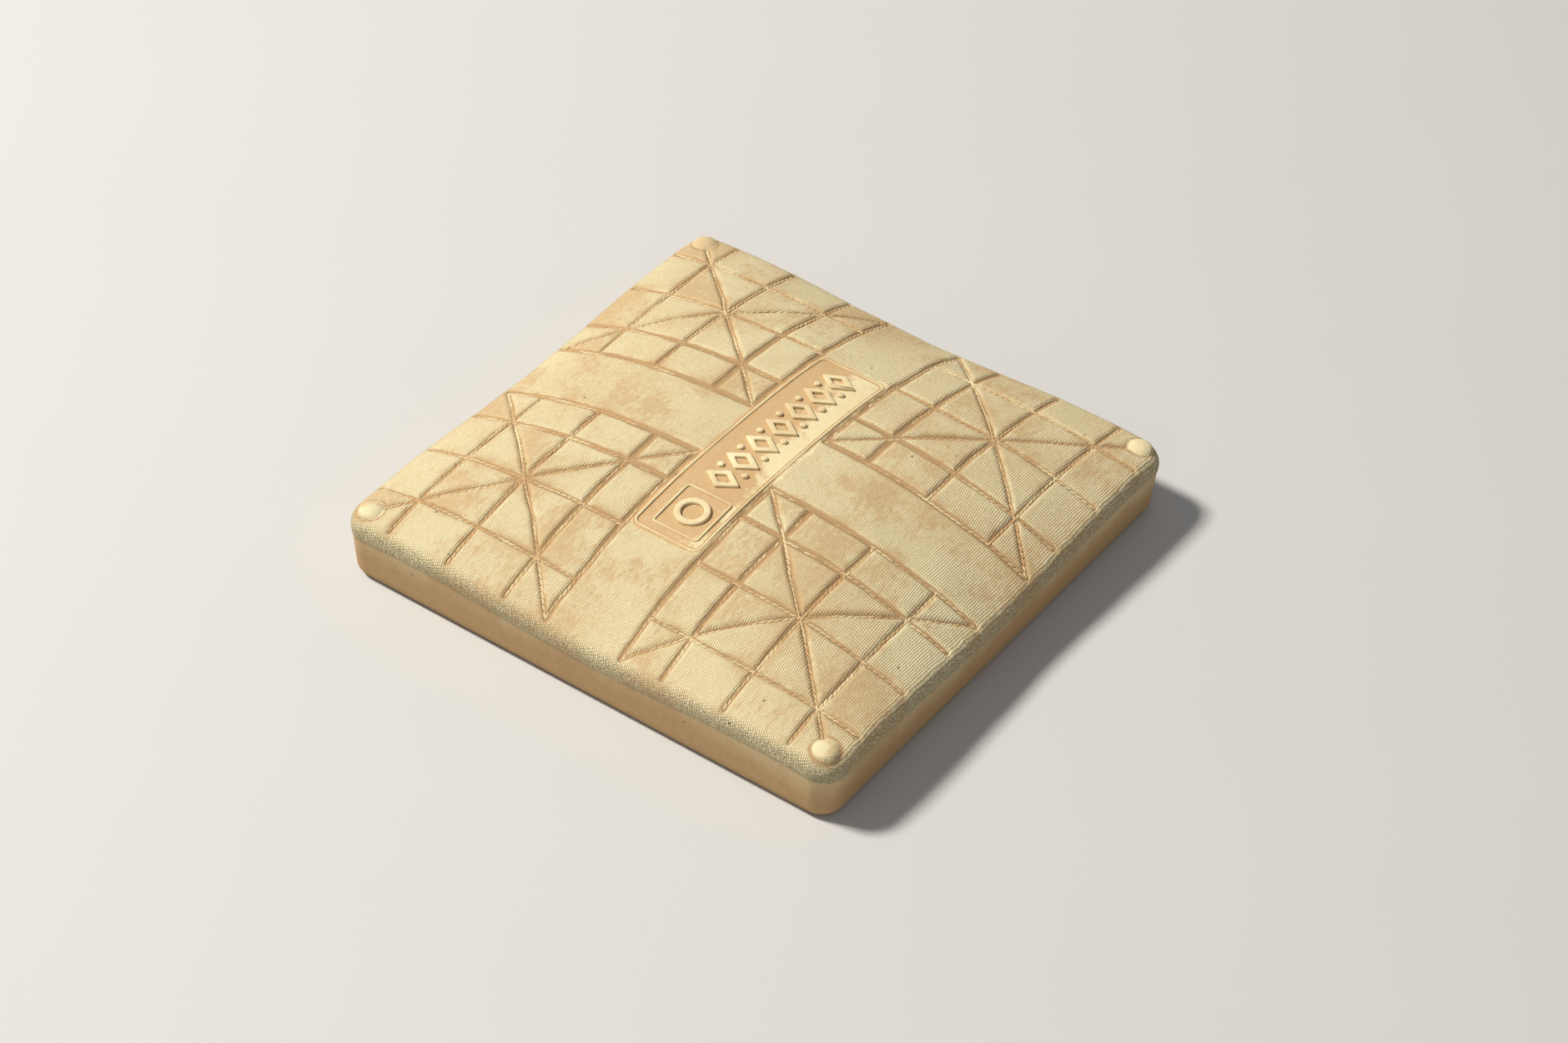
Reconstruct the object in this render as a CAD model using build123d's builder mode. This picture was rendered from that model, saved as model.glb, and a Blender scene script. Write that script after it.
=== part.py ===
from build123d import *
import math
import os

# A 15 inch baseball base on a square post, standing in its ground anchor.
# Millimetres, +Z up. The origin is at ground level on the post's axis, so the base's
# underside lies on z = 0 and the anchor is below it. +X runs along the name panel's band.

# ---- driving dimensions -------------------------------------------------------------
base_side = 381.0               # 15 inch square
base_height = 76.2              # 3 inch at the middle of the crown
corner_radius = 18.0            # seen from above

seam_half = 184.4               # the stitched seam round the edge of the crown
seam_drop = 32.1                # how far the crown falls from its middle to that seam
crown_power = 2.75              # flat in the middle, steeper towards the edge
diagonal_lift = 1.07            # the corners stand a little higher than the two falls added
diagonal_power = 0.72
edge_radius = 9.0               # rolled edge outside the seam
least_edge_radius = 2.0
heel_radius = 8.0               # bottom edge of the side wall
bump_radius = 9.0               # round stud moulded on each corner
bump_place = 176.5
bump_height = 5.0

cover_wall = 7.0                # moulded rubber
foam_gap = 0.5                  # the foam core stays this far from the cover
lip_half = 150.0                # inner edge of the cover's turned-in lip

board_bottom = 12.0
board_thick = 12.0
board_gap = 1.0                 # between the board's edge and the cover

strip_thick = 3.0               # metal strips that hold the lip against the board
strip_width = 16.0
strip_place = 167.0             # centre line
strip_gap = 0.5
screw_radius = 2.0
screw_head_radius = 4.0
screw_head_height = 2.2
screw_length = 21.0
screws_per_strip = 4
long_strip_pitch = 100.0
short_strip_pitch = 80.0

flange_side = 100.0
flange_thick = 5.0
load_plate_thick = 3.0
plate_corner = 6.0
bolt_pitch = 70.0
bolt_radius = 4.0               # M8
bolt_hole_radius = 4.5
bolt_head_flats = 13.0
bolt_head_height = 5.3
washer_radius = 8.0
washer_thick = 1.6
nut_height = 8.0
nut_chamfer = 0.8
bolt_end_past_nut = 2.0
foam_pocket_side = 120.0
foam_pocket_depth = 20.0

post_side = 38.1                # 1.5 inch square tube
post_wall = 3.0
post_corner = 3.0
post_below_ground = 102.0
cap_thick = 3.0
cap_plug_depth = 15.0
cap_plug_gap = 0.1
cap_chamfer = 1.2

sleeve_side = 44.45             # 1.75 inch square tube, which the post drops into
sleeve_bore = 39.7
sleeve_corner = 3.5
sleeve_bore_corner = 1.5
sleeve_top = -3.0
sleeve_bottom = -165.0
rod_radius = 5.0
rod_length = 130.0
rod_heights = {"upper": -140.0, "lower": -155.0}

# ---- worked out from them -----------------------------------------------------------
base_half = base_side / 2
board_top = board_bottom + board_thick
flange_bottom = board_bottom - flange_thick
load_plate_top = board_top + load_plate_thick
crown_reach = base_half + 8     # the crown face is made a little wider than the base
crown_stations = 16

os.makedirs("parts", exist_ok=True)


def finish_part(builder, name):
    """Labels a piece and writes it."""
    builder.part.label = name
    export_step(builder.part, f"parts/{name}.step")


def crown_drop(x, y):
    """How far the crown lies below its middle at (x, y): square-shouldered, flat in the middle."""
    along = abs(x / seam_half) ** crown_power
    across = abs(y / seam_half) ** crown_power
    return seam_drop * (along + across - diagonal_lift * (along * across) ** diagonal_power)


def crown_face(lower):
    """The crown as one smooth face, `lower` below the outer one and wider than the base."""
    step = 2 * crown_reach / crown_stations
    line = [step * n - crown_reach for n in range(crown_stations + 1)]
    points = [[(x, y, base_height - lower - crown_drop(x, y)) for y in line] for x in line]
    return Face.make_surface_from_array_of_points(points)


def crowned_block(inset, foot, heel):
    """The base's outer form, `inset` smaller all round, down to z = foot."""
    side = base_side - 2 * inset
    with BuildPart() as block:
        with BuildSketch(Plane.XY.offset(foot)):
            RectangleRounded(side, side, corner_radius - inset)
        extrude(amount=base_height)
        extrude(crown_face(inset), amount=base_height, dir=(0, 0, 1), mode=Mode.SUBTRACT)
        crown_edges = block.faces().sort_by(Axis.Z)[-1].edges()
        fillet(crown_edges, max(edge_radius - inset, least_edge_radius))
        if heel > 0:
            fillet(block.faces().sort_by(Axis.Z)[0].edges(), heel)
    return block.part


# ---- cover: one moulding of rubber, hollow, with its bottom lip turned in -------------
outer_form = crowned_block(0, 0, heel_radius)
cavity_form = crowned_block(cover_wall, board_bottom, 0)
recess_outer = 2 * (strip_place + strip_width / 2 + strip_gap)
recess_inner = 2 * (strip_place - strip_width / 2 - strip_gap)
long_strip_length = 2 * strip_place + strip_width
short_strip_length = 2 * strip_place - strip_width - 2 * strip_gap
# Where the screws go: rows along X on the front and back strips, along Y on the others.
row_centres = [(0, -strip_place), (0, strip_place)]
column_centres = [(-strip_place, 0), (strip_place, 0)]

bump_base = base_height - crown_drop(bump_place, bump_place)
bump_centre = bump_base + bump_height - bump_radius

with BuildPart() as cover:
    add(outer_form)
    with Locations((0, 0, bump_centre)):
        with GridLocations(2 * bump_place, 2 * bump_place, 2, 2):
            Sphere(bump_radius)
    add(cavity_form, mode=Mode.SUBTRACT)
    with BuildSketch(Plane.XY):
        RectangleRounded(2 * lip_half, 2 * lip_half, plate_corner)
    extrude(amount=board_bottom, mode=Mode.SUBTRACT)
    with BuildSketch(Plane.XY):
        Rectangle(recess_outer, recess_outer)
        Rectangle(recess_inner, recess_inner, mode=Mode.SUBTRACT)
    extrude(amount=strip_thick, mode=Mode.SUBTRACT)
    with BuildSketch(Plane.XY):
        with Locations(*row_centres):
            with GridLocations(long_strip_pitch, 0, screws_per_strip, 1):
                Circle(screw_radius)
        with Locations(*column_centres):
            with GridLocations(0, short_strip_pitch, 1, screws_per_strip):
                Circle(screw_radius)
    extrude(amount=board_bottom, mode=Mode.SUBTRACT)
finish_part(cover, "cover")

# ---- foam core: fills the cover above the board ---------------------------------------
foam_form = crowned_block(cover_wall + foam_gap, board_top, 0)
with BuildPart() as foam_core:
    add(foam_form)
    with BuildSketch(Plane.XY.offset(board_top)):
        Rectangle(foam_pocket_side, foam_pocket_side)
    extrude(amount=foam_pocket_depth, mode=Mode.SUBTRACT)
finish_part(foam_core, "foam_core")

# ---- backing board: plywood that everything is fastened to ----------------------------
board_side = 2 * (base_half - cover_wall - board_gap)
with BuildPart() as backing_board:
    with BuildSketch(Plane.XY.offset(board_bottom)):
        RectangleRounded(board_side, board_side, corner_radius - cover_wall)
        with GridLocations(bolt_pitch, bolt_pitch, 2, 2):
            Circle(bolt_hole_radius, mode=Mode.SUBTRACT)
    extrude(amount=board_thick)
    with BuildSketch(Plane.XY.offset(board_bottom)):
        with Locations(*row_centres):
            with GridLocations(long_strip_pitch, 0, screws_per_strip, 1):
                Circle(screw_radius)
        with Locations(*column_centres):
            with GridLocations(0, short_strip_pitch, 1, screws_per_strip):
                Circle(screw_radius)
    extrude(amount=screw_length - board_bottom, mode=Mode.SUBTRACT)
finish_part(backing_board, "backing_board")


# ---- clamp strips: four, screwed up through the lip into the board --------------------
def clamp_strip(name, centre, along_x):
    """One flat strip with countersunk holes. The long ones run along X."""
    length = long_strip_length if along_x else short_strip_length
    pitch = long_strip_pitch if along_x else short_strip_pitch
    size = (length, strip_width) if along_x else (strip_width, length)
    counts = (screws_per_strip, 1) if along_x else (1, screws_per_strip)
    # The holes are cut from below, so this plane faces down.
    underside = Plane(origin=(centre[0], centre[1], 0), x_dir=(1, 0, 0), z_dir=(0, 0, -1))
    with BuildPart() as strip:
        with BuildSketch(Plane.XY):
            with Locations(centre):
                Rectangle(*size)
        extrude(amount=strip_thick)
        with Locations(underside):
            with GridLocations(pitch, pitch, *counts):
                CounterSinkHole(screw_radius, screw_head_radius, counter_sink_angle=sink_angle)
    finish_part(strip, name)


sink_angle = 2 * math.degrees(math.atan((screw_head_radius - screw_radius) / screw_head_height))
clamp_strip("clamp_strip_front", row_centres[0], True)
clamp_strip("clamp_strip_back", row_centres[1], True)
clamp_strip("clamp_strip_left", column_centres[0], False)
clamp_strip("clamp_strip_right", column_centres[1], False)

# ---- clamp screws: countersunk, one group ---------------------------------------------
with BuildPart() as one_screw:
    with BuildSketch(Plane.XZ):
        with BuildLine():
            Polyline(
                (0, 0),
                (screw_head_radius, 0),
                (screw_radius, screw_head_height),
                (screw_radius, screw_length - screw_radius),
                (0, screw_length),
                close=True,
            )
        make_face()
    revolve(axis=Axis.Z)

with BuildPart() as clamp_screws:
    with Locations(*row_centres):
        with GridLocations(long_strip_pitch, 0, screws_per_strip, 1):
            add(one_screw.part)
    with Locations(*column_centres):
        with GridLocations(0, short_strip_pitch, 1, screws_per_strip):
            add(one_screw.part)
finish_part(clamp_screws, "clamp_screws")


# ---- plates above and below the board -------------------------------------------------
def drilled_plate(name, bottom, thick):
    """A square steel plate with the four bolt holes."""
    with BuildPart() as plate:
        with BuildSketch(Plane.XY.offset(bottom)):
            RectangleRounded(flange_side, flange_side, plate_corner)
            with GridLocations(bolt_pitch, bolt_pitch, 2, 2):
                Circle(bolt_hole_radius, mode=Mode.SUBTRACT)
        extrude(amount=thick)
    finish_part(plate, name)


drilled_plate("load_plate", board_top, load_plate_thick)
drilled_plate("stanchion_flange", flange_bottom, flange_thick)


# ---- bolts, washers and nuts: four of each, one group of each -------------------------
def washers(name, bottom):
    """Four plain washers lying on z = bottom."""
    with BuildPart() as group:
        with BuildSketch(Plane.XY.offset(bottom)):
            with GridLocations(bolt_pitch, bolt_pitch, 2, 2):
                Circle(washer_radius)
                Circle(bolt_hole_radius, mode=Mode.SUBTRACT)
        extrude(amount=washer_thick)
    finish_part(group, name)


head_top = flange_bottom - washer_thick
nut_bottom = load_plate_top + washer_thick
bolt_end = nut_bottom + nut_height + bolt_end_past_nut
washers("flange_washers", head_top)
washers("nut_washers", load_plate_top)

with BuildPart() as flange_bolts:
    with BuildSketch(Plane.XY.offset(head_top - bolt_head_height)):
        with GridLocations(bolt_pitch, bolt_pitch, 2, 2):
            RegularPolygon(bolt_head_flats / 2, 6, major_radius=False)
    extrude(amount=bolt_head_height)
    with BuildSketch(Plane.XY.offset(head_top)):
        with GridLocations(bolt_pitch, bolt_pitch, 2, 2):
            Circle(bolt_radius)
    extrude(amount=bolt_end - head_top)
finish_part(flange_bolts, "flange_bolts")

with BuildPart() as flange_nuts:
    with BuildSketch(Plane.XY.offset(nut_bottom)):
        with GridLocations(bolt_pitch, bolt_pitch, 2, 2):
            RegularPolygon(bolt_head_flats / 2, 6, major_radius=False)
            Circle(bolt_radius, mode=Mode.SUBTRACT)
    extrude(amount=nut_height)
    top_rims = flange_nuts.faces().group_by(Axis.Z)[-1].edges().filter_by(GeomType.LINE)
    chamfer(top_rims, nut_chamfer)
finish_part(flange_nuts, "flange_nuts")

# ---- stanchion: the square post welded to the flange, and its end cap -----------------
post_inner = post_side - 2 * post_wall
with BuildPart() as stanchion_tube:
    with BuildSketch(Plane.XY.offset(-post_below_ground)):
        RectangleRounded(post_side, post_side, post_corner)
        Rectangle(post_inner, post_inner, mode=Mode.SUBTRACT)
    extrude(amount=post_below_ground + flange_bottom)
finish_part(stanchion_tube, "stanchion_tube")

with BuildPart() as stanchion_cap:
    with BuildSketch(Plane.XY.offset(-post_below_ground - cap_thick)):
        RectangleRounded(post_side, post_side, post_corner)
    extrude(amount=cap_thick)
    chamfer(stanchion_cap.faces().sort_by(Axis.Z)[0].edges(), cap_chamfer)
    with BuildSketch(Plane.XY.offset(-post_below_ground)):
        Rectangle(post_inner - 2 * cap_plug_gap, post_inner - 2 * cap_plug_gap)
        Rectangle(post_inner - 2 * post_wall, post_inner - 2 * post_wall, mode=Mode.SUBTRACT)
    extrude(amount=cap_plug_depth)
finish_part(stanchion_cap, "stanchion_cap")

# ---- ground anchor: a square sleeve with two cross rods, set in the field -------------
with BuildPart() as anchor_sleeve:
    with BuildSketch(Plane.XY.offset(sleeve_bottom)):
        RectangleRounded(sleeve_side, sleeve_side, sleeve_corner)
        RectangleRounded(sleeve_bore, sleeve_bore, sleeve_bore_corner, mode=Mode.SUBTRACT)
    extrude(amount=sleeve_top - sleeve_bottom)
    with Locations((0, 0, rod_heights["upper"])):
        Cylinder(rod_radius, rod_length, rotation=(0, 90, 0), mode=Mode.SUBTRACT)
    with Locations((0, 0, rod_heights["lower"])):
        Cylinder(rod_radius, rod_length, rotation=(90, 0, 0), mode=Mode.SUBTRACT)
finish_part(anchor_sleeve, "anchor_sleeve")

with BuildPart() as anchor_rod_upper:
    with Locations((0, 0, rod_heights["upper"])):
        Cylinder(rod_radius, rod_length, rotation=(0, 90, 0))
finish_part(anchor_rod_upper, "anchor_rod_upper")

with BuildPart() as anchor_rod_lower:
    with Locations((0, 0, rod_heights["lower"])):
        Cylinder(rod_radius, rod_length, rotation=(90, 0, 0))
finish_part(anchor_rod_lower, "anchor_rod_lower")
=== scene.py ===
"""A 15 inch baseball base: quilted rubber cover, hidden core and a post that lifts out of its anchor.

Laid out as an add-on, but run as a script. Everything is in metres, in the packed frame:
+X runs along the name panel, +Z is up, and the underside rests on z = 0.
"""

import math

import bmesh
import bpy
import numpy as np
from mathutils import Matrix, Vector


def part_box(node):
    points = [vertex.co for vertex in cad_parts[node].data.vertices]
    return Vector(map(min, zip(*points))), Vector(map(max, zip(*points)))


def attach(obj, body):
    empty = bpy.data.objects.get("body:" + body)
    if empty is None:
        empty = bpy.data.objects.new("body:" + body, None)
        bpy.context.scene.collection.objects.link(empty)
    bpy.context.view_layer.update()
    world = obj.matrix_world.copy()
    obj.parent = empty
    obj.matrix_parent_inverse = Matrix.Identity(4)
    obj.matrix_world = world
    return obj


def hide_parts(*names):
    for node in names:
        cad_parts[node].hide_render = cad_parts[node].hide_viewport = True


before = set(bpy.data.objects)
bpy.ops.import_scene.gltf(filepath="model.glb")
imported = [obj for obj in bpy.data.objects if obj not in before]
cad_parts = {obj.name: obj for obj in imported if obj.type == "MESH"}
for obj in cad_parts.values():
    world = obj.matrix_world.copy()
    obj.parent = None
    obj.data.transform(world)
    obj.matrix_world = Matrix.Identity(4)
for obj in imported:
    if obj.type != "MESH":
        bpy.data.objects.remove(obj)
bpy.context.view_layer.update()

bl_info = {
    "name": "Baseball Base",
    "version": (1, 0, 0),
    "blender": (4, 5, 0),
    "location": "3D View > Sidebar > Base",
    "description": "Quilted rubber baseball base with its post and ground anchor",
    "category": "Object",
}

MM = 0.001
COVER_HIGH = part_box("cover")[1]
HALF_SIDE, HEIGHT = COVER_HIGH.x, COVER_HIGH.z
BOARD_LOW, BOARD_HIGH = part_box("backing_board")
STRIP_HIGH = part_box("clamp_strip_front")[1]
SLEEVE_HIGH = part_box("anchor_sleeve")[1]
POST_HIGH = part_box("stanchion_tube")[1]
FLANGE_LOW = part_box("stanchion_flange")[0]


def length(name, description, default):
    """A size property in metres."""
    return bpy.props.FloatProperty(
        name=name, description=description, default=default, unit="LENGTH", precision=4
    )


def number(name, description, default):
    """A plain number property."""
    return bpy.props.FloatProperty(name=name, description=description, default=default)


def angle(name, description, degrees):
    """An angle property, from its default in degrees."""
    return bpy.props.FloatProperty(
        name=name, description=description, default=math.radians(degrees), subtype="ANGLE"
    )


def colour(name, description, default):
    """A colour property, linear RGB."""
    return bpy.props.FloatVectorProperty(
        name=name, description=description, default=default, subtype="COLOR", min=0, max=1
    )


# ---- sizes and colours that a user would change -------------------------------------------


class CoverSizes(bpy.types.PropertyGroup):
    """Shape of the quilted cover."""

    mesh_pitch: length("Mesh pitch", "Spacing of the cover's mesh", 1.0 * MM)
    seam_half: length("Edge seam", "Middle to the edge seam", 184.4 * MM)
    seam_fall: length("Crown fall", "Crown's middle down to the edge seam", 32.1 * MM)
    crown_power: number("Crown power", "Higher is flatter in the middle", 2.75)
    diagonal_lift: number("Diagonal lift", "Raises the corners", 1.07)
    diagonal_power: number("Diagonal power", "Where the corner lift begins", 0.72)
    crown_allowance: length("Crown allowance", "Seam level below full height", 1.0 * MM)
    corner_radius: length("Corner radius", "Outline's corners from above", 18 * MM)
    roll_radius: length("Roll radius", "Rolled edge outside the edge seam", 8.6 * MM)
    pillow: length("Pillow", "How far each block stands over its seams", 1.2 * MM)
    pillow_reach: length("Pillow reach", "Distance in which a block rises", 1.5 * MM)
    groove_depth: length("Groove depth", "Depth of the moulded seam line", 0.6 * MM)
    seam_wander: length("Seam wander", "How far a seam strays from straight", 0.55 * MM)
    stud_radius: length("Stud radius", "Round stud on each corner", 9.4 * MM)
    stud_height: length("Stud height", "Stud over the crown", 4.2 * MM)
    stud_place: length("Stud place", "Middle to the stud, along each axis", 176.0 * MM)
    wall_thickness: length("Wall thickness", "Rubber's thickness", 6.6 * MM)
    heel_radius: length("Heel radius", "Bottom edge of the wall", 8.0 * MM)


class StitchSizes(bpy.types.PropertyGroup):
    """Moulded stitches along the seams."""

    pitch: length("Pitch", "Stitch to stitch", 4.5 * MM)
    long: length("Length", "Length of one stitch", 6.0 * MM)
    wide: length("Width", "Width of one stitch", 1.7 * MM)
    tall: length("Height", "Height of one stitch", 1.3 * MM)
    slant: angle("Slant", "Turn from the seam's line", 11)


class PanelSizes(bpy.types.PropertyGroup):
    """The smooth name panel and its plain ornament."""

    half_long: length("Half length", "Along X", 103 * MM)
    half_wide: length("Half width", "Along Y", 25.5 * MM)
    corner: length("Corner", "Corner radius", 6 * MM)
    smooth_margin: length("Smooth margin", "Smooth rubber past the border", 2.6 * MM)
    line_wide: length("Line width", "Raised border line", 1.3 * MM)
    line_tall: length("Line height", "Raised border line", 0.75 * MM)
    figure_tall: length("Figure height", "Raised ornament", 1.9 * MM)
    figure_half: length("Figure half width", "Raised ornament, along Y", 13.0 * MM)
    figure_stroke: length("Figure stroke", "Width of the ornament's line", 3.6 * MM)
    inner_near: length("Frame near end", "Inner frame's end towards -X", -96 * MM)
    inner_far: length("Frame far end", "Inner frame's end towards +X", -57 * MM)
    inner_right: length("Frame right side", "Inner frame's side towards -Y", -19.5 * MM)
    inner_left: length("Frame left side", "Inner frame's side towards +Y", 15.5 * MM)
    row_near: length("Ornament start", "Row of lozenges", -42 * MM)
    row_far: length("Ornament end", "Row of lozenges", 84 * MM)
    lozenge_count: bpy.props.IntProperty(name="Lozenges", description="In the row", default=7)


class BaseColours(bpy.types.PropertyGroup):
    """Colours of the rubber, of what lies on it, and of the painted shade."""

    rubber: colour("Rubber", "Cream rubber", (0.768, 0.690, 0.424))
    rubber_worn: colour("Worn rubber", "Cream rubber where handled", (0.695, 0.580, 0.338))
    rubber_clean: colour("Clean rubber", "Cream rubber where rubbed smooth", (0.810, 0.750, 0.500))
    dust: colour("Dust", "Infield dirt rubbed into the rubber", (0.510, 0.325, 0.155))
    # The next colour is painted shade: brown-grey, laid low in the knit and along the foot of some blocks.
    painted_shade: colour("Painted_shade", "Brown-grey grime in the knit", (0.228, 0.186, 0.105))
    speck: colour("Specks", "Small dark specks", (0.060, 0.045, 0.030))
    foam: colour("Foam", "Moulded foam core", (0.780, 0.640, 0.360))
    plywood: colour("Plywood", "Backing board", (0.520, 0.330, 0.160))
    zinc: colour("Zinc", "Plated strips and screws", (0.560, 0.565, 0.560))
    galvanised: colour("Galvanised steel", "Post and plates", (0.450, 0.465, 0.475))
    rust: colour("Rust", "Rust on the ground anchor", (0.210, 0.075, 0.028))
    cap: colour("Cap", "Black plastic plug", (0.018, 0.018, 0.019))


class StageSettings(bpy.types.PropertyGroup):
    """Camera, floor and studio light."""

    azimuth: angle("Azimuth", "Camera round the base", -55.7)
    elevation: angle("Elevation", "Camera above the horizon", 41.2)
    roll: angle("Roll", "Camera's tilt", 2.36)
    distance: length("Distance", "Camera to the point looked at", 2.431)
    look_at: bpy.props.FloatVectorProperty(
        name="Look at", description="On the crown's level", default=(-0.0511, -0.0540, 0.0), unit="LENGTH"
    )
    lens: number("Lens", "Focal length in mm on a 36 mm sensor", 89.9)
    floor_half: length("Floor half side", "Floor's size", 6.0)
    floor_colour: colour("Floor", "Plain pale floor", (0.56, 0.55, 0.53))
    sky_colour: colour("Surround", "Soft light from all round", (0.93, 0.95, 1.0))
    horizon_strength: number("Horizon strength", "Light of the surround just above the floor", 0.62)
    horizon_height: number("Horizon height", "Share of the way up where the horizon has faded", 0.42)
    sky_strength: number("Surround strength", "Soft light from all round", 0.24)
    key_power: number("Key power", "Main light in watts", 385.0)
    fill_power: number("Fill power", "Light from the camera's side in watts", 9.0)


GROUPS = {
    "base_cover": CoverSizes,
    "base_stitches": StitchSizes,
    "base_panel": PanelSizes,
    "base_colours": BaseColours,
    "base_stage": StageSettings,
}


def settings(name):
    """One of the property groups on the scene."""
    return getattr(bpy.context.scene, name)


# ---- small mesh helpers -------------------------------------------------------------------


def finish_mesh(bm, name, smooth=True):
    """Turns a bmesh into an object at the origin, with its normals outward."""
    bmesh.ops.recalc_face_normals(bm, faces=bm.faces)
    mesh = bpy.data.meshes.new(name)
    bm.to_mesh(mesh)
    bm.free()
    piece = bpy.data.objects.new(name, mesh)
    bpy.context.scene.collection.objects.link(piece)
    mesh.polygons.foreach_set("use_smooth", [smooth] * len(mesh.polygons))
    return piece


def join(bm, part):
    """Adds one bmesh to another, and frees it."""
    carrier = bpy.data.meshes.new("part")
    part.to_mesh(carrier)
    part.free()
    bm.from_mesh(carrier)
    bpy.data.meshes.remove(carrier)


def new_verts(made):
    """The vertices among what an extrusion made."""
    return [item for item in made if isinstance(item, bmesh.types.BMVert)]


def round_off(bm, geom, offset, segments, affect="EDGES", **options):
    """Rounds edges, or the corners of a flat face."""
    bmesh.ops.bevel(
        bm, geom=geom, offset=offset, segments=segments, profile=0.5, affect=affect, material=-1, **options
    )


def place(piece, body, material, stands_for=()):
    """Puts a finished piece on its body, with its slot and material."""
    piece.data.materials.append(material)
    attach(piece, body)
    if stands_for:
        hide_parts(*stands_for)


def smooth_step(low, high, value):
    """0 below low, 1 above high, smooth between."""
    t = np.clip((value - low) / (high - low), 0.0, 1.0)
    return t * t * (3 - 2 * t)


def bell(value, middle, wide):
    """1 at the middle, falling smoothly to nothing a little past `wide` on each side."""
    return np.exp(-(((value - middle) / wide) ** 2))


def scatter(number_of, factor=12.9898, spread=43758.5453):
    """A repeatable, random-looking fraction for a number, between -1 and 1."""
    return np.modf(np.sin(number_of * factor) * spread)[0]


def waves(x, y, size, seed):
    """Smooth, repeatable unevenness between about -1 and 1, with features of about `size`."""
    total = 0.0
    for k in range(6):
        turn = seed * 1.7 + k * 2.399
        along = x * math.cos(turn) + y * math.sin(turn)
        total = total + np.sin(along * (1 + 0.31 * k) * 3.1 / size + seed * 3.1 + k * 1.9)
    return total / 3.2


# ---- the quilt's pattern ------------------------------------------------------------------

BAND_HALF = 28.8 * MM  # half width of the two plain bands that cross in the middle
GRID_LINES = (60.5 * MM, 107.3 * MM, 154.5 * MM)
LONG_WAVE, SHORT_WAVE = 70 * MM, 20 * MM  # sizes of the seams' straying
NARROWS_FROM = 0.35  # share of the way out where the seams begin to narrow
LIP_RISE, LIP_AT, LIP_WIDE = 0.22, 2.4 * MM, 1.4 * MM  # raised lip round each block
CREASE_DEPTH, CREASE_WIDE = 0.2 * MM, 3 * MM  # faint line round the edge seam
# Width of the painted shadow line along each seam's side.
SHADOW_LINE_WIDE = 0.6 * MM
SHORT_OF_STUD = 13 * MM  # the diagonal seam ends this far in from the edge seam
NEAR_REACH = 3.2 * MM  # how far dust creeps out of a seam
SUNK_FOOT = 1.2 * MM  # how far the raised figures reach into the panel
PANEL_SUNK = 0.35 * MM  # the panel's face below the blocks round it


def quilt_lines(edge):
    """The seams of one quarter as (start, end, half width near the middle, half width outside,
    dust held in them, 0 to 1)."""
    lines = []
    widths = {
        BAND_HALF: (2.3, 1.7, 1.0),
        GRID_LINES[0]: (2.3, 1.6, 0.95),
        GRID_LINES[1]: (1.8, 1.35, 0.85),
        GRID_LINES[2]: (1.5, 1.2, 0.7),
    }
    for place_at, (near, far, dust) in widths.items():
        lines.append(((place_at, BAND_HALF), (place_at, edge), near * MM, far * MM, dust))
        lines.append(((BAND_HALF, place_at), (edge, place_at), near * MM, far * MM, dust))
    corner = edge - SHORT_OF_STUD
    lines.append(((BAND_HALF, BAND_HALF), (corner, corner), 1.6 * MM, 1.3 * MM, 0.7))
    lines.append(((BAND_HALF, edge), (edge, BAND_HALF), 1.5 * MM, 1.3 * MM, 0.65))
    return lines


def drift(cover, x, y):
    """How far the seams stray from straight at (x, y)."""
    dx = cover.seam_wander * (waves(x, y, LONG_WAVE, 2.0) + 0.4 * waves(x, y, SHORT_WAVE, 5.0))
    dy = cover.seam_wander * (waves(x, y, LONG_WAVE, 3.0) + 0.4 * waves(x, y, SHORT_WAVE, 7.0))
    return dx, dy


def seam_state(cover, x, y):
    """Four marks for each point: distance to the nearest seam, counted from its edge, how deep in a seam
    it lies, how much dust that seam holds there, and the painted shadow line along its side."""
    dx, dy = drift(cover, x, y)
    ax, ay = np.abs(x + dx), np.abs(y + dy)
    spread = np.maximum(ax, ay) / cover.seam_half
    clear = np.full(x.shape, 1.0)
    inside = np.zeros(x.shape)
    dusty = np.zeros(x.shape)
    shadow_line = np.zeros(x.shape)
    for start, end, near, far, dust in quilt_lines(cover.seam_half):
        run = np.array(end) - np.array(start)
        t = np.clip(((ax - start[0]) * run[0] + (ay - start[1]) * run[1]) / run.dot(run), 0, 1)
        away = np.hypot(ax - start[0] - t * run[0], ay - start[1] - t * run[1])
        half = near + (far - near) * smooth_step(NARROWS_FROM, 1.0, spread)
        here = np.exp(-((away / half) ** 4))
        clear = np.minimum(clear, np.maximum(away - half * 0.8, 0.0))
        inside = np.maximum(inside, here)
        dusty = np.maximum(dusty, here * dust)
        # A painted shadow line along each seam's side, faint where the seam holds much dust.
        shadow_line = np.maximum(shadow_line, bell(away, half * 0.85, SHADOW_LINE_WIDE) * (1.2 - dust))
    return clear, inside, dusty, np.minimum(shadow_line, 1.0) * (inside < 0.97)


def panel_state(panel, x, y):
    """1 where the panel is smooth, which runs out unevenly past its border, 0 outside it, and
    the distance past the border."""
    qx = np.abs(x) - (panel.half_long - panel.corner)
    qy = np.abs(y) - (panel.half_wide - panel.corner)
    away = np.hypot(np.maximum(qx, 0), np.maximum(qy, 0)) + np.minimum(np.maximum(qx, qy), 0)
    away = away - panel.corner
    smooth_for = panel.smooth_margin * (1 + 0.5 * waves(x, y, 0.012, 8.0))
    return 1 - smooth_step(0.0, 1.0, (away - 0.4 * smooth_for) / smooth_for), away


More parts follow.
